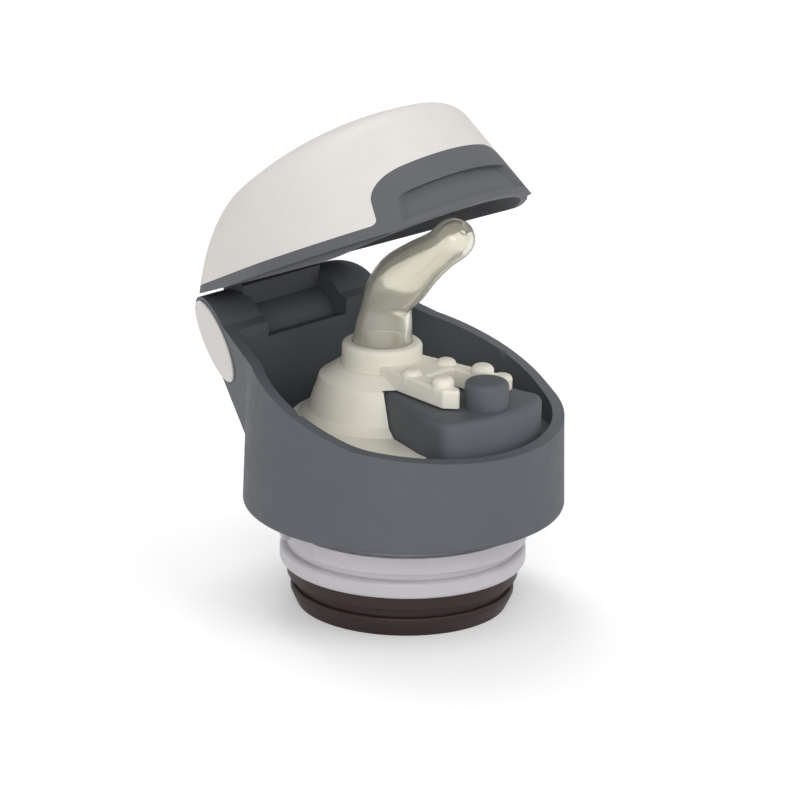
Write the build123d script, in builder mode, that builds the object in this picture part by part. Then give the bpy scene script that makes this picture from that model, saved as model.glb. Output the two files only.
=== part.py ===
"""Flip-top cap of a water bottle, open, with its bent drinking spout.

Millimetres, +Z up, origin at the foot of the plug on its axis. The front with
the catch faces -Y, and the hinge is at +Y. The lid is drawn closed and then
opened about the hinge axis to the angle at which the cap rests.
"""

import os
from math import cos, radians, sin, sqrt, tan

from build123d import *

# Body: a drafted round shell with a slanted rim
body_radius = 34.0
body_bottom = 22.0
body_draft = 1.5
body_wall = 2.5
rim_front_z = 40.7
rim_knee_y = -13.4
rim_knee_z = 43.5
rim_slope = 0.334
rim_knee_radius = 30.0
foot_fillet = 1.0

# Hinge hub at the rear of the body
hinge_y = 39.0
hinge_z = 52.2
hub_radius = 10.0
hub_half_width = 17.6
side_turn = 25.0
side_lean = 17.0
rear_lean = 25.5
rear_face_offset = 6.3
flare_front_y = 10.0
slot_half_width = 11.8
slot_knuckle_gap = 0.6
slot_front_angle = 168.0
slot_rear_angle = -30.0
cap_radius = 9.3
cap_thickness = 0.6
cap_fillet = 0.25

# Hinge pin
pin_radius = 1.5
pin_clearance = 0.05
pin_end_gap = 1.4

# Well, web and skirt of the body
web_bottom = 34.5
web_top = 37.5
web_opening_radius = 24.8
skirt_wall = 2.5

# Raised deck and catch post at the front of the well
deck_top = 48.6
deck_rear_y = -0.5
deck_rear_half = 8.3
deck_mid_half = 13.8
deck_front_half = 15.0
deck_front_gap = 1.9
deck_front_radius = body_radius - body_wall - deck_front_gap
deck_mid_setback = 12.0
deck_mid_y = deck_mid_setback - deck_front_radius
deck_wall = 2.0
deck_fillet = 1.6
post_setback = 6.6
post_y = post_setback - deck_front_radius
post_radius = 4.6
post_top = 54.4
post_fillet = 1.4

# White spout base
fit_gap = 0.3
base_floor_top = 40.0
base_wall = 2.0
spout_y = 7.0
dome_root_radius = 17.5
dome_foot_radius = 15.5
dome_foot_z = 41.6
dome_shoulder_radius = 13.2
dome_shoulder_z = 48.5
collar_foot_radius = 9.5
collar_foot_z = 51.0
collar_radius = 8.5
collar_top = 56.0
collar_fillet = 1.2
tongue_bottom = 49.0
tongue_thickness = 3.9
tongue_root_half = 6.5
tongue_end_half = 8.6
tongue_end_y = post_y + 4.4
fork_half = 3.9
fork_root_y = -9.5
fork_front_half = 4.6
fork_front_y = post_y + 3.4
prong_tip_half = 6.4
prong_tip_y = post_y + 1.6
tongue_corner = 0.8
tongue_fillet = 0.7
nub_fillet = 1.4
nub_front = (6.0, post_y + 6.8, 2.4, 1.9)
nub_rear = (5.2, -6.6, 2.2, 1.1)

# Vent valve in the deck
valve_x = 11.2
valve_y = post_y + 6.0
valve_radius = 1.6
valve_head_radius = 2.2
valve_head_height = 3.0
valve_depth = 4.0

# Soft mouthpiece
spout_radius = 6.4
spout_seat_z = 49.0
spout_wall = 1.4
spout_bend_y = 2.9
spout_bend_z = 69.2
spout_bend_radius = 5.7
spout_bend_tilt = 34.0
spout_neck_y = -7.4
spout_neck_z = 78.3
spout_neck_radius = 4.4
spout_tip_y = -12.9
spout_tip_z = 82.8
spout_tip_radius = 4.4
spout_tip_tilt = 55.0
spout_hole_radius = 0.7

# Threaded plug below the web
seat_radius = 21.0
seat_wall = 2.0
seat_setback = 3.7
plug_radius = seat_radius + seat_setback
plug_wall = 2.0
plug_deck_thickness = 2.0
flange_gap = 1.3
flange_radius = body_radius - skirt_wall - flange_gap
ring_reach = 1.4
ring_radius = plug_radius + ring_reach
ring_bottom = 9.3
ring_top = 13.2
ring_fillet = 1.1
thread_reach = 1.5
thread_radius = plug_radius + thread_reach
thread_bottom = 15.0
thread_top = 18.5
thread_start = 178.0
thread_sweep = 150.0
socket_radius = 4.6
socket_bore_radius = 3.2
socket_length = 12.0

# Brown gasket on the plug's foot
gasket_top = 9.2
seal_seat_gap = 0.05
seal_band_depth = 3.5
seal_band_radius = seat_radius + seal_band_depth
seal_band_bottom = 6.2
seal_groove_depth = 1.8
seal_groove_radius = seat_radius + seal_groove_depth
seal_groove_bottom = 4.3
seal_lip_depth = 2.7
seal_lip_radius = seat_radius + seal_lip_depth
seal_lip_bottom = 3.0
seal_foot_depth = 1.3
seal_foot_radius = seat_radius + seal_foot_depth

# Lid, drawn closed
lid_open_angle = 41.0
lid_gap = 0.8
lid_knee_rise = 1.6
lid_draft = 11.0
lid_foot_z = 40.0
lid_side_turn = 16.4
lid_rear_reach = 12.0
crown_y = 3.0
crown_z = 75.6
crown_front_radius = 72.0
crown_front_arc = 50.0
crown_rear_radius = 55.0
crown_rear_arc = 60.0
crown_cross_radius = 75.0
shoulder_radius = 7.0
cover_wall = 1.2
cover_gap = 0.1
shell_wall = 1.3
hub_gap = 0.6
tail_wall = 2.0
tail_angle = 108.0
band_inset = 1.1
seam_slope = 0.28
seam_z = 53.8
seam_step_y = -24.1
seam_front_z = 56.4
seam_corner_radius = 0.8
seam_step_radius = 4.5
band_side_height = 2.4
band_front_height = 5.6
band_step_width = 3.2
lip_height = 1.6
lip_half_width = 21.0

# Lid arm and knuckle in the hub's slot
arm_side_gap = 0.3
knuckle_radius = 6.5
arm_front_angle = 142.0

# Longer than the whole cap, for the tools that cut it
far = 120.0

plug_deck_bottom = web_bottom - plug_deck_thickness


def round_hinge(radius, angle):
    """The point (y, z) at a radius and an angle, in degrees from +Y, about the hinge."""
    return (
        hinge_y + radius * cos(radians(angle)),
        hinge_z + radius * sin(radians(angle)),
    )


def rim_height(y):
    """The rim's height on its straight rear run."""
    return rim_knee_z + rim_slope * (y - rim_knee_y)


def above_rim(gap, knee_rise):
    """All that lies higher than the rim's profile and a gap, wider by a rise behind the knee."""
    knee_gap = gap + knee_rise
    front_slope = (rim_knee_z - rim_front_z) / (rim_knee_y + body_radius)
    front_z = rim_knee_z - front_slope * (far + rim_knee_y)
    with BuildPart() as region:
        with BuildSketch(Plane.YZ):
            with BuildLine():
                edge = FilletPolyline(
                    (-far, front_z + gap),
                    (rim_knee_y, rim_knee_z + knee_gap),
                    (far, rim_height(far) + knee_gap),
                    radius=rim_knee_radius,
                )
                Polyline(edge @ 1, (far, 2 * far), (-far, 2 * far), edge @ 0)
            make_face()
        extrude(amount=far, both=True)
    return region.part


def hinge_cylinder(radius, half_width):
    """A cylinder about the hinge axis."""
    with BuildPart() as cylinder:
        with BuildSketch(Plane.YZ):
            with Locations((hinge_y, hinge_z)):
                Circle(radius)
        extrude(amount=half_width, both=True)
    return cylinder.part


def hinge_sector(start_angle, end_angle, half_width):
    """A wedge about the hinge axis, from one angle to the other."""
    middle = (start_angle + end_angle) / 2
    with BuildPart() as sector:
        with BuildSketch(Plane.YZ):
            with BuildLine():
                Polyline(
                    (hinge_y, hinge_z),
                    round_hinge(far, start_angle),
                    round_hinge(2 * far, middle),
                    round_hinge(far, end_angle),
                    close=True,
                )
            make_face()
        extrude(amount=half_width, both=True)
    return sector.part


def side_plane(side, inset):
    """The leaning side face of the hub, moved inwards by an inset."""
    out = Vector(
        side * cos(radians(side_lean)) * cos(radians(side_turn)),
        cos(radians(side_lean)) * sin(radians(side_turn)),
        -sin(radians(side_lean)),
    )
    foot = Vector(side * hub_half_width, hinge_y, hinge_z)
    return Plane(origin=foot - out * inset, z_dir=out)


def rear_face_point(z):
    """The point (y, z) on the leaning rear face at a height."""
    out_y = cos(radians(rear_lean))
    out_z = -sin(radians(rear_lean))
    return (hinge_y + (rear_face_offset - (z - hinge_z) * out_z) / out_y, z)


def rear_block():
    """The rear flare and the round hub, between the leaning side faces."""
    flare_foot = body_bottom + 2 * foot_fillet
    with BuildPart() as block:
        with BuildSketch(Plane.YZ):
            with BuildLine():
                Polyline(
                    (flare_front_y, flare_foot),
                    rear_face_point(flare_foot),
                    rear_face_point(hinge_z),
                    (hinge_y, rim_height(hinge_y)),
                    (flare_front_y, rim_height(flare_front_y)),
                    close=True,
                )
            make_face()
        extrude(amount=far, both=True)
        add(hinge_cylinder(hub_radius, far))
        for side in (1, -1):
            split(bisect_by=side_plane(side, 0), keep=Keep.BOTTOM)
    return block.part


def well_space():
    """The hollow above the web, in front of the hub."""
    well_rear_y = hinge_y - hub_radius
    with BuildPart() as flare:
        with BuildSketch(Plane.YZ.offset(-far)):
            with Locations((0, web_top)):
                Rectangle(well_rear_y, far, align=(Align.MIN, Align.MIN))
        extrude(amount=2 * far)
        for side in (1, -1):
            split(bisect_by=side_plane(side, body_wall), keep=Keep.BOTTOM)
    drafted = (web_top - body_bottom) * tan(radians(body_draft))
    with BuildPart() as space:
        with BuildSketch(Plane.XY.offset(web_top)):
            Circle(body_radius - body_wall - drafted)
        extrude(amount=body_radius, taper=body_draft)
        split(bisect_by=Plane.XZ.offset(-well_rear_y), keep=Keep.TOP)
        add(flare.part)
    return space.part


def deck_sketch(plane, grow):
    """The deck's plan on a plane, grown by a clearance."""
    front_x = deck_front_half
    front_y = -sqrt(deck_front_radius**2 - front_x**2)
    with BuildSketch(plane) as sketch:
        with BuildLine():
            ThreePointArc((-front_x, front_y), (0, -deck_front_radius), (front_x, front_y))
            Polyline(
                (front_x, front_y),
                (deck_mid_half, deck_mid_y),
                (deck_rear_half, deck_rear_y),
                (-deck_rear_half, deck_rear_y),
                (-deck_mid_half, deck_mid_y),
                (-front_x, front_y),
            )
        make_face()
        if grow:
            offset(amount=grow)
    return sketch.sketch


def lid_form(inset):
    """The lid's solid outer form, moved inwards by an inset."""
    turn = radians(lid_side_turn)
    radius = body_radius - inset
    side_x = radius * cos(turn)
    side_y = radius * sin(turn)
    rear_y = hinge_y + lid_rear_reach
    rear_x = side_x - (rear_y - side_y) * tan(turn)
    with BuildPart() as crown:
        with BuildSketch(Plane.YZ):
            with BuildLine():
                top = (crown_y, crown_z - inset)
                front = JernArc(top, (-1, 0), crown_front_radius - inset, crown_front_arc)
                rear = JernArc(top, (1, 0), crown_rear_radius - inset, -crown_rear_arc)
                axis_z = crown_z - crown_cross_radius
                Polyline(front @ 1, ((front @ 1).X, axis_z), ((rear @ 1).X, axis_z), rear @ 1)
            make_face()
        revolve(axis=Axis((0, 0, axis_z), (0, 1, 0)))
    with BuildPart() as form:
        with BuildSketch(Plane.XY.offset(lid_foot_z)):
            with BuildLine():
                ThreePointArc((-side_x, side_y), (0, -radius), (side_x, side_y))
                Polyline((side_x, side_y), (rear_x, rear_y), (-rear_x, rear_y), (-side_x, side_y))
            make_face()
        extrude(amount=crown_z, taper=lid_draft)
        add(crown.part, mode=Mode.INTERSECT)
        fillet(form.faces().sort_by(Axis.Z)[-1].edges(), shoulder_radius - inset)
    return form.part


def seam_region(side_drop, front_drop, step_move):
    """All that lies higher than the seam between the cover and the lid's shell."""
    step_y = seam_step_y - step_move
    with BuildPart() as region:
        with BuildSketch(Plane.YZ):
            with BuildLine():
                edge = FilletPolyline(
                    (far, seam_z + seam_slope * far - side_drop),
                    (step_y, seam_z + seam_slope * step_y - side_drop),
                    (step_y, seam_front_z - front_drop),
                    (-far, seam_front_z - front_drop),
                    radius=[seam_corner_radius, seam_step_radius - step_move],
                )
                Polyline(edge @ 1, (-far, 2 * far), (far, 2 * far), edge @ 0)
            make_face()
        extrude(amount=far, both=True)
    return region.part


def opened(piece):
    """A closed lid piece, turned open about the hinge."""
    return piece.rotate(Axis((0, hinge_y, hinge_z), (1, 0, 0)), -lid_open_angle)


# Threaded plug
with BuildPart() as threaded_plug:
    with BuildSketch(Plane.XY.offset(gasket_top)):
        Circle(plug_radius)
    extrude(amount=web_bottom - gasket_top)
    with BuildSketch(Plane.XY.offset(plug_deck_bottom)):
        Circle(flange_radius)
    extrude(amount=plug_deck_thickness)
    with BuildSketch(Plane.XY.offset(ring_bottom)):
        Circle(ring_radius)
    extrude(amount=ring_top - ring_bottom)
    ring_edges = threaded_plug.edges().filter_by(GeomType.CIRCLE)
    fillet([e for e in ring_edges if abs(e.radius - ring_radius) < fit_gap], ring_fillet)
    with BuildSketch(Plane.XY):
        Circle(seat_radius)
    extrude(amount=gasket_top)
    with BuildSketch(Plane.XY):
        Circle(seat_radius - seat_wall)
    extrude(amount=gasket_top, mode=Mode.SUBTRACT)
    with BuildSketch(Plane.XY.offset(gasket_top)):
        Circle(seat_radius - seat_wall)
    extrude(amount=seat_wall, mode=Mode.SUBTRACT)
    with BuildSketch(Plane.XY.offset(gasket_top + seat_wall)):
        Circle(plug_radius - plug_wall)
    extrude(amount=plug_deck_bottom - gasket_top - seat_wall, mode=Mode.SUBTRACT)
    with BuildSketch(Plane.XY.offset(plug_deck_bottom - socket_length)):
        with Locations((0, spout_y)):
            Circle(socket_radius)
    extrude(amount=socket_length)
    with BuildSketch(Plane.XY.offset(plug_deck_bottom - socket_length)):
        with Locations((0, spout_y)):
            Circle(socket_bore_radius)
    extrude(amount=socket_length + plug_deck_thickness, mode=Mode.SUBTRACT)
    with BuildSketch(Plane.XY.offset(plug_deck_bottom)):
        with Locations((valve_x, valve_y)):
            Circle(valve_radius / 2)
    extrude(amount=plug_deck_thickness, mode=Mode.SUBTRACT)
    for start in (thread_start, thread_start + 180):
        with BuildSketch(Plane.XY.offset(thread_bottom)):
            with BuildLine():
                outer = CenterArc((0, 0), thread_radius, start, thread_sweep)
                inner = CenterArc((0, 0), plug_radius - plug_wall / 2, start, thread_sweep)
                Line(outer @ 0, inner @ 0)
                Line(outer @ 1, inner @ 1)
            make_face()
        extrude(amount=thread_top - thread_bottom)

# Gasket
with BuildPart() as plug_gasket:
    with BuildSketch(Plane.XZ):
        with BuildLine():
            Polyline(
                (seat_radius + seal_seat_gap, 0),
                (seal_foot_radius, 0),
                (seal_lip_radius, seal_lip_bottom),
                (seal_lip_radius, seal_groove_bottom),
                (seal_groove_radius, seal_groove_bottom),
                (seal_groove_radius, seal_band_bottom),
                (seal_band_radius, seal_band_bottom),
                (seal_band_radius, gasket_top),
                (seat_radius + seal_seat_gap, gasket_top),
                close=True,
            )
        make_face()
    revolve(axis=Axis.Z)
    seal_edges = plug_gasket.edges().filter_by(GeomType.CIRCLE)
    fillet([e for e in seal_edges if e.radius > seal_groove_radius + fit_gap], 0.5)

# Body shell
with BuildPart() as body_shell:
    with BuildSketch(Plane.XY.offset(body_bottom)):
        Circle(body_radius)
    extrude(amount=2 * body_radius, taper=body_draft)
    fillet(body_shell.edges().sort_by(Axis.Z)[0], foot_fillet)
    add(above_rim(0, 0), mode=Mode.SUBTRACT)
    add(rear_block())
    add(well_space(), mode=Mode.SUBTRACT)
    with BuildSketch(Plane.XY.offset(body_bottom)):
        Circle(body_radius - skirt_wall)
    extrude(amount=web_bottom - body_bottom, mode=Mode.SUBTRACT)
    with BuildSketch(Plane.XY.offset(web_bottom)):
        Circle(web_opening_radius)
    extrude(amount=web_top - web_bottom, mode=Mode.SUBTRACT)
    add(hinge_cylinder(knuckle_radius + slot_knuckle_gap, slot_half_width), mode=Mode.SUBTRACT)
    add(hinge_sector(slot_rear_angle, slot_front_angle, slot_half_width), mode=Mode.SUBTRACT)
    add(hinge_cylinder(pin_radius + pin_clearance, far), mode=Mode.SUBTRACT)

# Deck with the catch post, hollow below, on the front of the web
with BuildPart() as deck:
    add(deck_sketch(Plane.XY.offset(web_bottom + fit_gap), 0))
    extrude(amount=deck_top - web_bottom - fit_gap)
    fillet(deck.edges().filter_by(Axis.Z), 2 * deck_fillet)
    fillet(deck.faces().sort_by(Axis.Z)[-1].edges(), deck_fillet)
    with BuildSketch(Plane.XY.offset(deck_top - deck_fillet)):
        with Locations((0, post_y)):
            Circle(post_radius)
    extrude(amount=post_top - deck_top + deck_fillet)
    fillet(deck.faces().sort_by(Axis.Z)[-1].edges(), post_fillet)
    add(deck_sketch(Plane.XY.offset(web_bottom + fit_gap), -deck_wall))
    extrude(amount=deck_top - web_bottom - fit_gap - deck_wall, mode=Mode.SUBTRACT)
    with BuildSketch(Plane.XY.offset(deck_top - valve_depth)):
        with Locations((valve_x, valve_y)):
            Circle(valve_radius)
    extrude(amount=2 * valve_depth, mode=Mode.SUBTRACT)

with body_shell:
    add(deck.part)


# Forked tongue with rounded nubs on its prongs
with BuildPart() as tongue:
    with BuildSketch(Plane.XY.offset(tongue_bottom)):
        with BuildLine():
            Polyline(
                (tongue_root_half, spout_y),
                (tongue_root_half, 0),
                (tongue_end_half, tongue_end_y),
                (prong_tip_half, prong_tip_y),
                (fork_front_half, fork_front_y),
                (fork_half, fork_root_y),
                (-fork_half, fork_root_y),
                (-fork_front_half, fork_front_y),
                (-prong_tip_half, prong_tip_y),
                (-tongue_end_half, tongue_end_y),
                (-tongue_root_half, 0),
                (-tongue_root_half, spout_y),
                close=True,
            )
        make_face()
    extrude(amount=tongue_thickness)
    fillet(tongue.edges().filter_by(Axis.Z), tongue_corner)
    fillet(tongue.faces().sort_by(Axis.Z)[-1].edges(), tongue_fillet)
    for nub_x, nub_y, nub_radius, nub_height in (nub_front, nub_rear):
        with BuildPart(mode=Mode.PRIVATE) as nub:
            with BuildSketch(Plane.XY.offset(tongue_bottom + tongue_thickness / 2)):
                with Locations((nub_x, nub_y), (-nub_x, nub_y)):
                    Circle(nub_radius)
            extrude(amount=tongue_thickness / 2 + nub_height)
            fillet(nub.edges().group_by(Axis.Z)[-1], nub_fillet)
        add(nub.part)

# White spout base: floor disc, dome, collar and forked tongue
with BuildPart() as spout_base:
    with BuildSketch(Plane.XY.offset(web_bottom)):
        Circle(web_opening_radius - fit_gap)
    extrude(amount=base_floor_top - web_bottom)
    with BuildSketch(Plane.YZ):
        with BuildLine():
            Polyline(
                (spout_y, web_bottom),
                (spout_y + dome_root_radius, web_bottom),
                (spout_y + dome_root_radius, base_floor_top),
                (spout_y + dome_foot_radius, dome_foot_z),
                (spout_y + dome_shoulder_radius, dome_shoulder_z),
                (spout_y + collar_foot_radius, collar_foot_z),
                (spout_y + collar_radius, collar_foot_z),
                (spout_y + collar_radius, collar_top),
                (spout_y, collar_top),
                close=True,
            )
        make_face()
    revolve(axis=Axis((0, spout_y, 0), (0, 0, 1)))
    collar_edges = spout_base.edges().filter_by(GeomType.CIRCLE).group_by(Axis.Z)[-1]
    fillet(collar_edges, collar_fillet)
    add(tongue.part)
    # Pocket over the deck
    add(deck_sketch(Plane.XY.offset(web_bottom), fit_gap))
    extrude(amount=deck_top + fit_gap - web_bottom, mode=Mode.SUBTRACT)
    # Hollow below
    with BuildSketch(Plane.YZ):
        with BuildLine():
            Polyline(
                (spout_y, web_bottom),
                (spout_y + dome_foot_radius - base_wall, web_bottom),
                (spout_y + dome_foot_radius - base_wall, dome_foot_z),
                (spout_y + dome_shoulder_radius - base_wall, dome_shoulder_z - base_wall),
                (spout_y, dome_shoulder_z - base_wall),
                close=True,
            )
        make_face()
    revolve(axis=Axis((0, spout_y, 0), (0, 0, 1)), mode=Mode.SUBTRACT)
    # Seat of the mouthpiece, and its passage
    with BuildSketch(Plane.XY.offset(spout_seat_z)):
        with Locations((0, spout_y)):
            Circle(spout_radius + pin_clearance)
    extrude(amount=collar_top - spout_seat_z, mode=Mode.SUBTRACT)
    with BuildSketch(Plane.XY.offset(web_bottom)):
        with Locations((0, spout_y)):
            Circle(spout_radius - spout_wall)
    extrude(amount=collar_top - web_bottom, mode=Mode.SUBTRACT)

# Vent valve
with BuildPart() as vent_valve:
    with BuildSketch(Plane.XY.offset(deck_top - valve_depth)):
        with Locations((valve_x, valve_y)):
            Circle(valve_radius - pin_clearance)
    extrude(amount=valve_depth)
    with BuildSketch(Plane.XY.offset(deck_top)):
        with Locations((valve_x, valve_y)):
            Circle(valve_head_radius)
    extrude(amount=valve_head_height)
    fillet(vent_valve.edges().group_by(Axis.Z)[-1], valve_head_height / 3)


def spout_section(y, z, tilt):
    """The plane of a section across the mouthpiece, tipped forwards by a tilt."""
    out = (0, -sin(radians(tilt)), cos(radians(tilt)))
    return Plane(origin=(0, y, z), x_dir=(1, 0, 0), z_dir=out)


def spout_loft(thinner):
    """The mouthpiece's round form above the collar, thinner by a wall for its passage."""
    stations = (
        (spout_y, collar_top, 0, spout_radius),
        (spout_bend_y, spout_bend_z, spout_bend_tilt, spout_bend_radius),
        (spout_neck_y, spout_neck_z, spout_tip_tilt, spout_neck_radius),
        (spout_tip_y, spout_tip_z, spout_tip_tilt, spout_tip_radius),
    )
    with BuildPart() as tube:
        for y, z, tilt, radius in stations:
            with BuildSketch(spout_section(y, z, tilt)):
                Circle(radius - thinner)
        loft()
    return tube.part


# Mouthpiece of soft silicone
with BuildPart() as mouthpiece:
    with BuildSketch(Plane.XY.offset(spout_seat_z)):
        with Locations((0, spout_y)):
            Circle(spout_radius)
    extrude(amount=collar_top - spout_seat_z)
    add(spout_loft(0))
    with Locations((0, spout_tip_y, spout_tip_z)):
        Sphere(spout_tip_radius)
    add(spout_loft(spout_wall), mode=Mode.SUBTRACT)
    with BuildSketch(Plane.XY.offset(spout_seat_z)):
        with Locations((0, spout_y)):
            Circle(spout_radius - spout_wall)
    extrude(amount=collar_top - spout_seat_z, mode=Mode.SUBTRACT)
    with BuildSketch(spout_section(spout_tip_y, spout_tip_z, spout_tip_tilt)):
        Circle(spout_hole_radius)
    extrude(amount=2 * spout_tip_radius, mode=Mode.SUBTRACT)

# Steel hinge pin
pin_half_length = hub_half_width - pin_end_gap
with BuildPart() as hinge_pin:
    with BuildSketch(Plane.YZ):
        with Locations((hinge_y, hinge_z)):
            Circle(pin_radius)
    extrude(amount=pin_half_length, both=True)

# Thin round caps on the hub's side faces, over the pin's ends
with BuildPart() as hinge_cap_right:
    with BuildSketch(side_plane(1, 0)):
        Circle(cap_radius)
    extrude(amount=cap_thickness)
    fillet(hinge_cap_right.faces().sort_by(Axis.X)[-1].edges(), cap_fillet)

with BuildPart() as hinge_cap_left:
    mirror(hinge_cap_right.part, about=Plane.YZ)

# White lid cover: the outer skin above the seam
with BuildPart() as lid_cover:
    add(lid_form(0))
    add(seam_region(0, 0, 0), mode=Mode.INTERSECT)
    add(lid_form(cover_wall), mode=Mode.SUBTRACT)
    add(hinge_cylinder(hub_radius + hub_gap + tail_wall, far), mode=Mode.SUBTRACT)
    add(hinge_sector(tail_angle - 180, tail_angle, far), mode=Mode.SUBTRACT)

# Skirt below the lid's band, set in from it
with BuildPart() as lid_skirt:
    add(lid_form(band_inset))
    add(seam_region(band_side_height, band_front_height, band_step_width), mode=Mode.SUBTRACT)

# Thumb lip along the front of the lid's lower edge
with BuildPart() as thumb_lip:
    with BuildSketch(Plane.XY.offset(lid_foot_z)):
        with Locations((0, -body_radius)):
            Rectangle(2 * lip_half_width, body_radius)
    extrude(amount=far)
    add(lid_form(0), mode=Mode.INTERSECT)
    add(above_rim(lid_gap + lip_height, lid_knee_rise), mode=Mode.SUBTRACT)

# Hollow of the lid, clear of the tail over the hub
with BuildPart() as lid_hollow:
    add(lid_form(cover_wall + cover_gap + shell_wall))
    add(hinge_cylinder(hub_radius + hub_gap + tail_wall, far), mode=Mode.SUBTRACT)

# Arm from the knuckle up to the lid
arm_half_width = slot_half_width - arm_side_gap
with BuildPart() as lid_arm:
    add(hinge_cylinder(hub_radius + hub_gap + tail_wall / 2, arm_half_width))
    add(hinge_sector(tail_angle, arm_front_angle, far), mode=Mode.INTERSECT)
    add(hinge_cylinder(knuckle_radius, arm_half_width))
    add(hinge_cylinder(pin_radius + pin_clearance, far), mode=Mode.SUBTRACT)

# Grey lid shell
with BuildPart() as lid_shell:
    add(lid_form(0))
    add(seam_region(0, 0, 0), mode=Mode.SUBTRACT)
    add(seam_region(band_side_height, band_front_height, band_step_width), mode=Mode.INTERSECT)
    add(lid_skirt.part)
    add(thumb_lip.part)
    add(lid_form(cover_wall + cover_gap))
    add(above_rim(lid_gap, lid_knee_rise), mode=Mode.INTERSECT)
    add(lid_hollow.part, mode=Mode.SUBTRACT)
    add(hinge_cylinder(hub_radius + hub_gap, far), mode=Mode.SUBTRACT)
    add(hinge_sector(tail_angle - 180, tail_angle, far), mode=Mode.SUBTRACT)
    add(lid_arm.part)

for piece in (lid_cover, lid_shell):
    piece.part = opened(piece.part)

pieces = {
    "body_shell": body_shell,
    "threaded_plug": threaded_plug,
    "plug_gasket": plug_gasket,
    "spout_base": spout_base,
    "vent_valve": vent_valve,
    "mouthpiece": mouthpiece,
    "hinge_pin": hinge_pin,
    "hinge_cap_left": hinge_cap_left,
    "hinge_cap_right": hinge_cap_right,
    "lid_shell": lid_shell,
    "lid_cover": lid_cover,
}

os.makedirs("parts", exist_ok=True)
for name, piece in pieces.items():
    piece.part.label = name
    export_step(piece.part, f"parts/{name}.step")
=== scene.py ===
"""Looks of a flip-top water bottle cap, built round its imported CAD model.

Lengths are in metres, in the CAD model's own frame: Z is up, the front is at
-Y and the hinge at +Y. The CAD nodes keep their shapes and get moulded
finishes here. The soft mouthpiece is modelled new, hollow and bent.
"""

import logging
import math
from dataclasses import dataclass, field
from enum import Enum

import bpy
from mathutils import Matrix, Vector

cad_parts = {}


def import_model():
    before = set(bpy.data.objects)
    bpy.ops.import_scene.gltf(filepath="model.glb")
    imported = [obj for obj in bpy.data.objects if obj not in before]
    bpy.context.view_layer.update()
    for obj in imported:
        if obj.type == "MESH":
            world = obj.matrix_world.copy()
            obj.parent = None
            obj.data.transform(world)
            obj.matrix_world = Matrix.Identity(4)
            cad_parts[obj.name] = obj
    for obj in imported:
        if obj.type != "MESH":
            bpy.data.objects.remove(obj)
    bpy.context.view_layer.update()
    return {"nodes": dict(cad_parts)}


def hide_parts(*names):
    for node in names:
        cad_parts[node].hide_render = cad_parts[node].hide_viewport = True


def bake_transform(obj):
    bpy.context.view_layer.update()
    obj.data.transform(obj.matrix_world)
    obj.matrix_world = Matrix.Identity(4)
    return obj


LOG = logging.getLogger("bottle_cap")
MM = 0.001

# How light scatters under soft plastic, from red to blue
SCATTER_TINT = (1.0, 0.8, 0.6)
SCATTER_DEPTH = 1.5 * MM
COAT_ROUGHNESS = 0.2

# Sizes of the spots in which colour and roughness wander
COLOUR_SPOT = 6 * MM
ROUGHNESS_SPOT = 3 * MM


class Node(Enum):
    """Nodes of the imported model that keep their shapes."""

    BODY_SHELL = "body_shell"
    THREADED_PLUG = "threaded_plug"
    PLUG_GASKET = "plug_gasket"
    SPOUT_BASE = "spout_base"
    VENT_VALVE = "vent_valve"
    HINGE_CAP_LEFT = "hinge_cap_left"
    HINGE_CAP_RIGHT = "hinge_cap_right"
    LID_SHELL = "lid_shell"
    LID_COVER = "lid_cover"
    HINGE_PIN = "hinge_pin"


class Slot(Enum):
    """Name of a material slot for the new pieces; no piece is given it here."""

    SOFT_SILICONE = "soft_silicone"


class Body(Enum):
    """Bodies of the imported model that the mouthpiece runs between."""

    CAP = "body"
    SPOUT = "mouthpiece"


def srgb(red: float, green: float, blue: float) -> tuple[float, float, float, float]:
    """Turns a display colour into a linear one.

    Args:
        red: Red from 0 to 255.
        green: Green from 0 to 255.
        blue: Blue from 0 to 255.

    Returns:
        The linear colour with full opacity.
    """

    def channel(value: float) -> float:
        """Returns one channel made linear."""
        share = value / 255
        if share <= 0.04045:
            return share / 12.92
        return ((share + 0.055) / 1.055) ** 2.4

    return (channel(red), channel(green), channel(blue), 1.0)


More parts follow.
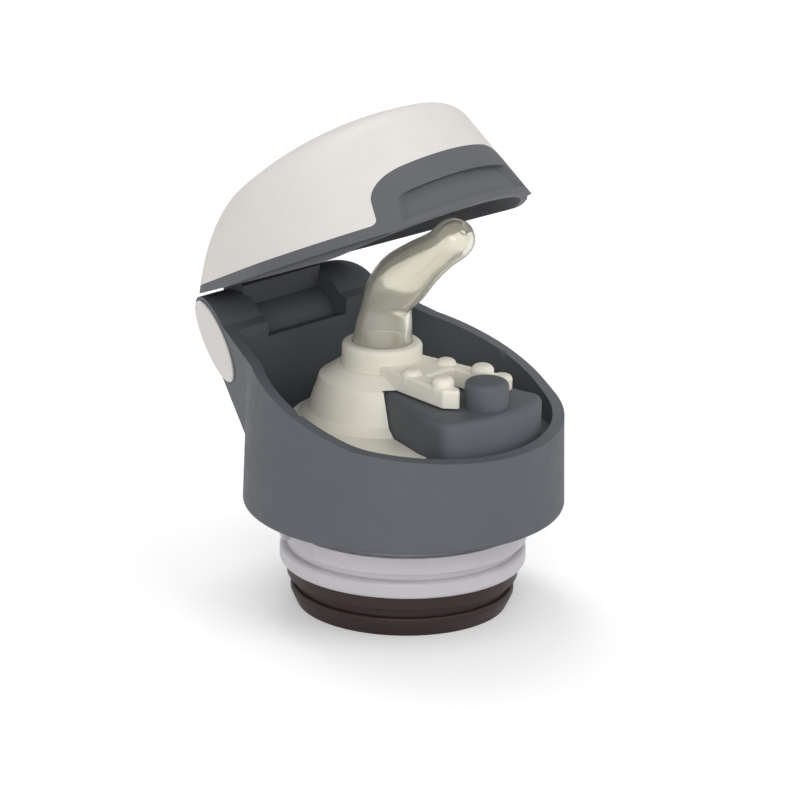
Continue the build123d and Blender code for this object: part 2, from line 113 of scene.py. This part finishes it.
@dataclass(frozen=True)
class MouldedFinish:
    """A moulded plastic or rubber finish with fine grain and faint mottling.

    Attributes:
        name: Name of the material.
        colour: Display colour from 0 to 255.
        roughness: Mean roughness.
        roughness_spread: How far the roughness wanders.
        grain: Grain size in metres.
        grain_depth: Grain height in metres.
        mottle: Share by which the colour wanders.
        subsurface: Weight of light scattered under the surface.
        transmission: Weight of light that passes through.
        coat: Weight of a thin gloss coat.
        metallic: Metal share.
        stretch: Scale of the grain along X, Y and Z.
        ior: Index of refraction.
    """

    name: str
    colour: tuple[float, float, float]
    roughness: float
    roughness_spread: float = 0.06
    grain: float = 0.0004
    grain_depth: float = 0.00002
    mottle: float = 0.05
    subsurface: float = 0.0
    transmission: float = 0.0
    coat: float = 0.0
    metallic: float = 0.0
    stretch: tuple[float, float, float] = (1.0, 1.0, 1.0)
    ior: float = 1.46

    def build(self) -> bpy.types.Material:
        """Makes the node material.

        Returns:
            The finished material.
        """
        material = bpy.data.materials.new(self.name)
        material.use_nodes = True
        tree = material.node_tree
        shader = tree.nodes["Principled BSDF"]
        shader.inputs["Metallic"].default_value = self.metallic
        shader.inputs["IOR"].default_value = self.ior
        shader.inputs["Subsurface Weight"].default_value = self.subsurface
        shader.inputs["Subsurface Radius"].default_value = SCATTER_TINT
        shader.inputs["Subsurface Scale"].default_value = SCATTER_DEPTH
        shader.inputs["Transmission Weight"].default_value = self.transmission
        shader.inputs["Coat Weight"].default_value = self.coat
        shader.inputs["Coat Roughness"].default_value = COAT_ROUGHNESS
        place = tree.nodes.new("ShaderNodeTexCoord")
        mapping = tree.nodes.new("ShaderNodeMapping")
        mapping.inputs["Scale"].default_value = self.stretch
        tree.links.new(place.outputs["Object"], mapping.inputs["Vector"])
        self._mottle_colour(tree, shader, mapping.outputs["Vector"])
        self._wander_roughness(tree, shader, mapping.outputs["Vector"])
        self._raise_grain(tree, shader, mapping.outputs["Vector"])
        return material

    def _noise(
        self,
        tree: bpy.types.NodeTree,
        place: bpy.types.NodeSocket,
        size: float,
        detail: float,
    ) -> bpy.types.NodeSocket:
        """Adds a noise field.

        Args:
            tree: The material's nodes.
            place: Coordinates of the field.
            size: Size of its spots in metres.
            detail: Number of finer octaves.

        Returns:
            The field's value, near 0.5 on average.
        """
        noise = tree.nodes.new("ShaderNodeTexNoise")
        noise.inputs["Scale"].default_value = 1 / size
        noise.inputs["Detail"].default_value = detail
        tree.links.new(place, noise.inputs["Vector"])
        return noise.outputs["Fac"]

    def _mottle_colour(
        self,
        tree: bpy.types.NodeTree,
        shader: bpy.types.Node,
        place: bpy.types.NodeSocket,
    ) -> None:
        """Lets the colour wander a little over the surface.

        Args:
            tree: The material's nodes.
            shader: The surface shader.
            place: Coordinates of the pattern.
        """
        ramp = tree.nodes.new("ShaderNodeValToRGB")
        base = srgb(*self.colour)
        low = tuple(channel * (1 - self.mottle) for channel in base[:3]) + (1.0,)
        high = tuple(min(1.0, channel * (1 + self.mottle)) for channel in base[:3]) + (1.0,)
        ramp.color_ramp.elements[0].position = 0.35
        ramp.color_ramp.elements[0].color = low
        ramp.color_ramp.elements[1].position = 0.65
        ramp.color_ramp.elements[1].color = high
        field_value = self._noise(tree, place, COLOUR_SPOT, 3.0)
        tree.links.new(field_value, ramp.inputs["Fac"])
        tree.links.new(ramp.outputs["Color"], shader.inputs["Base Color"])

    def _wander_roughness(
        self,
        tree: bpy.types.NodeTree,
        shader: bpy.types.Node,
        place: bpy.types.NodeSocket,
    ) -> None:
        """Lets the roughness wander a little over the surface.

        Args:
            tree: The material's nodes.
            shader: The surface shader.
            place: Coordinates of the pattern.
        """
        spread = tree.nodes.new("ShaderNodeMapRange")
        spread.inputs["From Min"].default_value = 0.3
        spread.inputs["From Max"].default_value = 0.7
        spread.inputs["To Min"].default_value = max(0.02, self.roughness - self.roughness_spread)
        spread.inputs["To Max"].default_value = min(1.0, self.roughness + self.roughness_spread)
        field_value = self._noise(tree, place, ROUGHNESS_SPOT, 2.0)
        tree.links.new(field_value, spread.inputs["Value"])
        tree.links.new(spread.outputs["Result"], shader.inputs["Roughness"])

    def _raise_grain(
        self,
        tree: bpy.types.NodeTree,
        shader: bpy.types.Node,
        place: bpy.types.NodeSocket,
    ) -> None:
        """Raises the fine grain that the mould leaves.

        Args:
            tree: The material's nodes.
            shader: The surface shader.
            place: Coordinates of the pattern.
        """
        bump = tree.nodes.new("ShaderNodeBump")
        bump.inputs["Strength"].default_value = 1.0
        bump.inputs["Distance"].default_value = self.grain_depth
        field_value = self._noise(tree, place, self.grain, 2.0)
        tree.links.new(field_value, bump.inputs["Height"])
        tree.links.new(bump.outputs["Normal"], shader.inputs["Normal"])


BODY_GREY = MouldedFinish("moulded_grey", (87, 91, 96), 0.62, mottle=0.02)
LID_GREY = MouldedFinish("moulded_lid_grey", (92, 94, 98), 0.6, mottle=0.02)
COVER_WHITE = MouldedFinish("moulded_white", (220, 216, 211), 0.5, mottle=0.012)
DISC_WHITE = MouldedFinish("moulded_disc_white", (219, 215, 211), 0.5, mottle=0.012)
BASE_CREAM = MouldedFinish(
    "moulded_cream", (238, 234, 220), 0.42, grain_depth=0.00001, mottle=0.012, subsurface=0.12
)
PLUG_MILKY = MouldedFinish(
    "milky_plug", (198, 195, 200), 0.34, grain_depth=0.00001, mottle=0.02, subsurface=0.25
)
GASKET_BROWN = MouldedFinish(
    "brown_silicone", (48, 32, 27), 0.45, grain=0.0006, grain_depth=0.00001, mottle=0.06
)
SPOUT_SILICONE = MouldedFinish(
    "milky_silicone",
    (255, 252, 240),
    0.09,
    roughness_spread=0.02,
    grain_depth=0.000002,
    mottle=0.015,
    transmission=0.78,
    coat=0.3,
    ior=1.38,
)
PIN_METAL = MouldedFinish(
    "drawn_steel",
    (200, 200, 202),
    0.3,
    grain_depth=0.000005,
    mottle=0.03,
    metallic=1.0,
    stretch=(0.1, 1.0, 1.0),
)


def dress(node: bpy.types.Object, material: bpy.types.Material) -> None:
    """Gives a piece one material.

    Args:
        node: The piece.
        material: Its finish.
    """
    node.data.materials.clear()
    node.data.materials.append(material)


def clear_selection() -> None:
    """Deselects every object, so that an operator acts on new work alone."""
    if bpy.context.object is not None and bpy.context.object.mode != "OBJECT":
        bpy.ops.object.mode_set(mode="OBJECT")
    bpy.ops.object.select_all(action="DESELECT")


def settle(piece: bpy.types.Object) -> None:
    """Applies a piece's place, so that its object sits at the origin.

    Args:
        piece: The finished piece.
    """
    clear_selection()
    piece.select_set(True)
    bpy.context.view_layer.objects.active = piece
    bpy.ops.object.transform_apply(location=True, rotation=True, scale=True)


@dataclass
class DressedAssembly:
    """A group of CAD nodes that keep their shapes and get their finishes here.

    Attributes:
        nodes: The CAD nodes by name.
        finishes: Finish of each node in the group.
    """

    nodes: dict[str, bpy.types.Object]
    finishes: dict[Node, MouldedFinish]

    def build(self, materials: dict[str, bpy.types.Material]) -> None:
        """Dresses the group's nodes.

        Args:
            materials: Built materials by finish name.
        """
        for node, finish in self.finishes.items():
            dress(self.nodes[node.value], materials[finish.name])
            LOG.info("dressed %s", node.value)


@dataclass
class CapBody(DressedAssembly):
    """The cap's fixed parts: shell, plug, gasket, spout base, valve and hinge discs."""

    finishes: dict[Node, MouldedFinish] = field(
        default_factory=lambda: {
            Node.BODY_SHELL: BODY_GREY,
            Node.THREADED_PLUG: PLUG_MILKY,
            Node.PLUG_GASKET: GASKET_BROWN,
            Node.SPOUT_BASE: BASE_CREAM,
            Node.VENT_VALVE: BASE_CREAM,
            Node.HINGE_CAP_LEFT: DISC_WHITE,
            Node.HINGE_CAP_RIGHT: DISC_WHITE,
        }
    )


@dataclass
class Lid(DressedAssembly):
    """The lid's two shells and its pin."""

    finishes: dict[Node, MouldedFinish] = field(
        default_factory=lambda: {
            Node.LID_SHELL: LID_GREY,
            Node.LID_COVER: COVER_WHITE,
            Node.HINGE_PIN: PIN_METAL,
        }
    )


@dataclass(frozen=True)
class SpoutStation:
    """One section of the mouthpiece.

    Attributes:
        y: Centre along Y in millimetres.
        z: Centre along Z in millimetres.
        tilt: Forward tip of the section in degrees.
        radius: Outer radius in millimetres.
    """

    y: float
    z: float
    tilt: float
    radius: float


@dataclass
class Mouthpiece:
    """The soft hollow spout that bends forwards over the cap.

    Attributes:
        stations: Sections from the seat to the tip.
        wall: Wall thickness in metres.
        segments: Points round a section.
        smoothing: Levels of subdivision.
        fold_start: Where the bend would start to follow the upper half; not used.
        fold_end: Where the bend would follow the upper half alone; not used.
    """

    stations: tuple[SpoutStation, ...] = (
        SpoutStation(7.0, 49.2, 0, 6.35),
        SpoutStation(7.0, 56.0, 0, 6.35),
        SpoutStation(6.5, 59.5, 4, 6.0),
        SpoutStation(6.2, 62.0, 6, 5.55),
        SpoutStation(5.8, 64.3, 12, 5.3),
        SpoutStation(4.6, 66.9, 27, 5.75),
        SpoutStation(2.6, 69.5, 40, 6.05),
        SpoutStation(0.2, 71.9, 47, 5.95),
        SpoutStation(-2.4, 74.1, 52, 5.35),
        SpoutStation(-5.2, 76.4, 54, 4.85),
        SpoutStation(-8.0, 78.4, 54, 4.4),
        SpoutStation(-10.2, 80.1, 54, 4.25),
        SpoutStation(-12.0, 81.7, 52, 4.55),
        SpoutStation(-13.6, 83.1, 50, 4.5),
        SpoutStation(-14.9, 84.2, 48, 3.7),
        SpoutStation(-15.7, 84.9, 46, 2.3),
        SpoutStation(-15.9, 85.1, 46, 0.9),
    )
    wall: float = 1.3 * MM
    segments: int = 32
    smoothing: int = 2
    fold_start: tuple[float, float, float] = (0.0, 0.0065, 0.058)
    fold_end: tuple[float, float, float] = (0.0, 0.0035, 0.072)

    def build(self, material: bpy.types.Material) -> bpy.types.Object:
        """Models the spout from one ring, extruded station by station.

        Args:
            material: The silicone.

        Returns:
            The finished piece.
        """
        clear_selection()
        first = self.stations[0]
        bpy.ops.mesh.primitive_circle_add(
            vertices=self.segments,
            radius=first.radius * MM,
            location=(0, first.y * MM, first.z * MM),
        )
        spout = bpy.context.object
        spout.name = "soft_mouthpiece"
        spout.data.name = "soft_mouthpiece"
        settle(spout)
        bpy.ops.object.mode_set(mode="EDIT")
        bpy.ops.mesh.select_all(action="SELECT")
        for before, after in zip(self.stations, self.stations[1:]):
            self._extrude_ring(before, after)
        bpy.ops.mesh.select_all(action="SELECT")
        bpy.ops.mesh.normals_make_consistent(inside=False)
        bpy.ops.object.mode_set(mode="OBJECT")
        wall = spout.modifiers.new("wall", "SOLIDIFY")
        wall.thickness = self.wall
        wall.offset = -1
        wall.use_even_offset = True
        smooth = spout.modifiers.new("smooth", "SUBSURF")
        smooth.levels = self.smoothing
        smooth.render_levels = self.smoothing
        for modifier in (wall.name, smooth.name):
            bpy.ops.object.modifier_apply(modifier=modifier)
        bpy.ops.object.shade_smooth()
        dress(spout, material)
        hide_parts("mouthpiece")
        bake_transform(spout)
        LOG.info("modelled %s", spout.name)
        return spout

    def _extrude_ring(self, before: SpoutStation, after: SpoutStation) -> None:
        """Extrudes the selected ring to the next section.

        Args:
            before: The section that the ring is at.
            after: The section that it goes to.
        """
        step = (0, (after.y - before.y) * MM, (after.z - before.z) * MM)
        centre = (0, after.y * MM, after.z * MM)
        bpy.ops.mesh.extrude_region_move(TRANSFORM_OT_translate={"value": step})
        turn = math.radians(after.tilt - before.tilt)
        if turn:
            # With no window the operator turns the other way.
            bpy.ops.transform.rotate(
                value=-turn, orient_axis="X", orient_type="GLOBAL", center_override=centre
            )
        ratio = after.radius / before.radius
        bpy.ops.transform.resize(value=(ratio, ratio, ratio), center_override=centre)


@dataclass(frozen=True)
class Lamp:
    """A round soft lamp.

    Attributes:
        name: Name of the lamp.
        place: Where it hangs, in metres.
        width: Its diameter in metres.
        power: Its power in watts.
    """

    name: str
    place: tuple[float, float, float]
    width: float
    power: float


@dataclass
class Studio:
    """The pale floor, the soft lights, the world and the camera.

    Attributes:
        floor_size: Side of the floor in metres.
        floor_shade: Brightness of the floor's own colour.
        world_light: Strength of the light from all round.
        floor_lift: Glow that the camera sees on the floor.
        lamps: The soft lamps.
        lamp_aim_height: Height that the lamps point at, in metres.
        azimuth: Camera's angle round the object in degrees.
        elevation: Camera's height angle in degrees.
        distance: Camera's distance from its aim in metres.
        aim_height: Height of the camera's aim in metres.
        focal_pixels: Focal length in pixels of an 800 pixel frame.
        frame_pixels: Width of the frame in pixels.
        sensor_width: Width of the camera's sensor in millimetres.
        roll: Camera's roll in degrees.
        centre_pixels: How far the aim is right of the frame's centre, in pixels.
    """

    floor_size: float = 6.0
    floor_shade: float = 0.95
    world_light: float = 0.62
    floor_lift: float = 0.17
    lamps: tuple[Lamp, ...] = (
        Lamp("key_lamp", (-0.95, -0.8, 0.6), 0.8, 5.2),
        Lamp("fill_lamp", (0.2, -0.9, 0.9), 0.9, 2.6),
        Lamp("top_lamp", (0.2, 0.5, 1.1), 0.6, 3.6),
    )
    lamp_aim_height: float = 0.05
    azimuth: float = -46.74
    elevation: float = 18.364
    distance: float = 1.0
    aim_height: float = 0.044387
    focal_pixels: float = 4763.05
    frame_pixels: float = 800.0
    sensor_width: float = 36.0
    roll: float = 1.069
    centre_pixels: float = 5.421

    def build(self) -> None:
        """Builds all of the studio."""
        self._light_world()
        self._lay_floor()
        self._hang_lamps()
        self._set_camera()
        LOG.info("built the studio")

    def _seen_rays(self, tree: bpy.types.NodeTree) -> bpy.types.NodeSocket:
        """Tells the rays that are seen, also through silicone, from the rest.

        Args:
            tree: Nodes of the world or of a material.

        Returns:
            A value of 1 for a seen ray and 0 for any other.
        """
        path = tree.nodes.new("ShaderNodeLightPath")
        seen = tree.nodes.new("ShaderNodeMath")
        seen.operation = "ADD"
        seen.use_clamp = True
        tree.links.new(path.outputs["Is Camera Ray"], seen.inputs[0])
        tree.links.new(path.outputs["Is Transmission Ray"], seen.inputs[1])
        return seen.outputs["Value"]

    def _light_world(self) -> None:
        """Makes the world: white to the eye and through silicone, softer as a light."""
        world = bpy.data.worlds.new("studio_world")
        bpy.context.scene.world = world
        world.use_nodes = True
        tree = world.node_tree
        background = tree.nodes["Background"]
        background.inputs["Color"].default_value = (1, 1, 1, 1)
        mix = tree.nodes.new("ShaderNodeMapRange")
        mix.inputs["To Min"].default_value = self.world_light
        mix.inputs["To Max"].default_value = 1.0
        tree.links.new(self._seen_rays(tree), mix.inputs["Value"])
        tree.links.new(mix.outputs["Result"], background.inputs["Strength"])

    def _lay_floor(self) -> None:
        """Lays the plain pale floor that keeps the object's shadow."""
        clear_selection()
        bpy.ops.mesh.primitive_plane_add(size=self.floor_size, location=(0, 0, 0))
        floor = bpy.context.object
        floor.name = "studio_floor"
        material = bpy.data.materials.new("floor_white")
        material.use_nodes = True
        tree = material.node_tree
        shader = tree.nodes["Principled BSDF"]
        shader.inputs["Base Color"].default_value = (*[self.floor_shade] * 3, 1)
        shader.inputs["Roughness"].default_value = 0.9
        shader.inputs["Specular IOR Level"].default_value = 0.0
        lift = tree.nodes.new("ShaderNodeMath")
        lift.operation = "MULTIPLY"
        lift.inputs[1].default_value = self.floor_lift
        tree.links.new(self._seen_rays(tree), lift.inputs[0])
        shader.inputs["Emission Color"].default_value = (1, 1, 1, 1)
        tree.links.new(lift.outputs["Value"], shader.inputs["Emission Strength"])
        dress(floor, material)

    def _hang_lamps(self) -> None:
        """Hangs the soft lamps round the object."""
        aim = Vector((0, 0, self.lamp_aim_height))
        for lamp in self.lamps:
            data = bpy.data.lights.new(lamp.name, "AREA")
            data.shape = "DISK"
            data.size = lamp.width
            data.energy = lamp.power
            hung = bpy.data.objects.new(lamp.name, data)
            bpy.context.scene.collection.objects.link(hung)
            hung.location = lamp.place
            way = aim - Vector(lamp.place)
            hung.rotation_euler = way.to_track_quat("-Z", "Y").to_euler()

    def _set_camera(self) -> None:
        """Sets the camera at the photograph's viewing angle."""
        data = bpy.data.cameras.new("photo_camera")
        camera = bpy.data.objects.new("photo_camera", data)
        bpy.context.scene.collection.objects.link(camera)
        azimuth = math.radians(self.azimuth)
        elevation = math.radians(self.elevation)
        back = Vector(
            (
                math.sin(azimuth) * math.cos(elevation),
                -math.cos(azimuth) * math.cos(elevation),
                math.sin(elevation),
            )
        )
        camera.location = Vector((0, 0, self.aim_height)) + back * self.distance
        level = (-back).to_track_quat("-Z", "Y").to_matrix()
        rolled = level @ Matrix.Rotation(math.radians(self.roll), 3, "Z")
        camera.rotation_euler = rolled.to_euler()
        data.sensor_width = self.sensor_width
        data.lens = self.focal_pixels / self.frame_pixels * data.sensor_width
        data.shift_x = -self.centre_pixels / self.frame_pixels
        data.clip_start = 0.01
        data.clip_end = 50.0
        bpy.context.scene.camera = camera
        bpy.context.scene.view_settings.view_transform = "Standard"


def main() -> None:
    """Builds the cap in its studio."""
    logging.basicConfig(level=logging.INFO, format="%(name)s: %(message)s")
    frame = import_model()
    finishes = (
        BODY_GREY,
        LID_GREY,
        COVER_WHITE,
        DISC_WHITE,
        BASE_CREAM,
        PLUG_MILKY,
        GASKET_BROWN,
        SPOUT_SILICONE,
        PIN_METAL,
    )
    materials = {finish.name: finish.build() for finish in finishes}
    CapBody(frame["nodes"]).build(materials)
    Lid(frame["nodes"]).build(materials)
    Mouthpiece().build(materials[SPOUT_SILICONE.name])
    Studio().build()


if __name__ == "__main__":
    main()
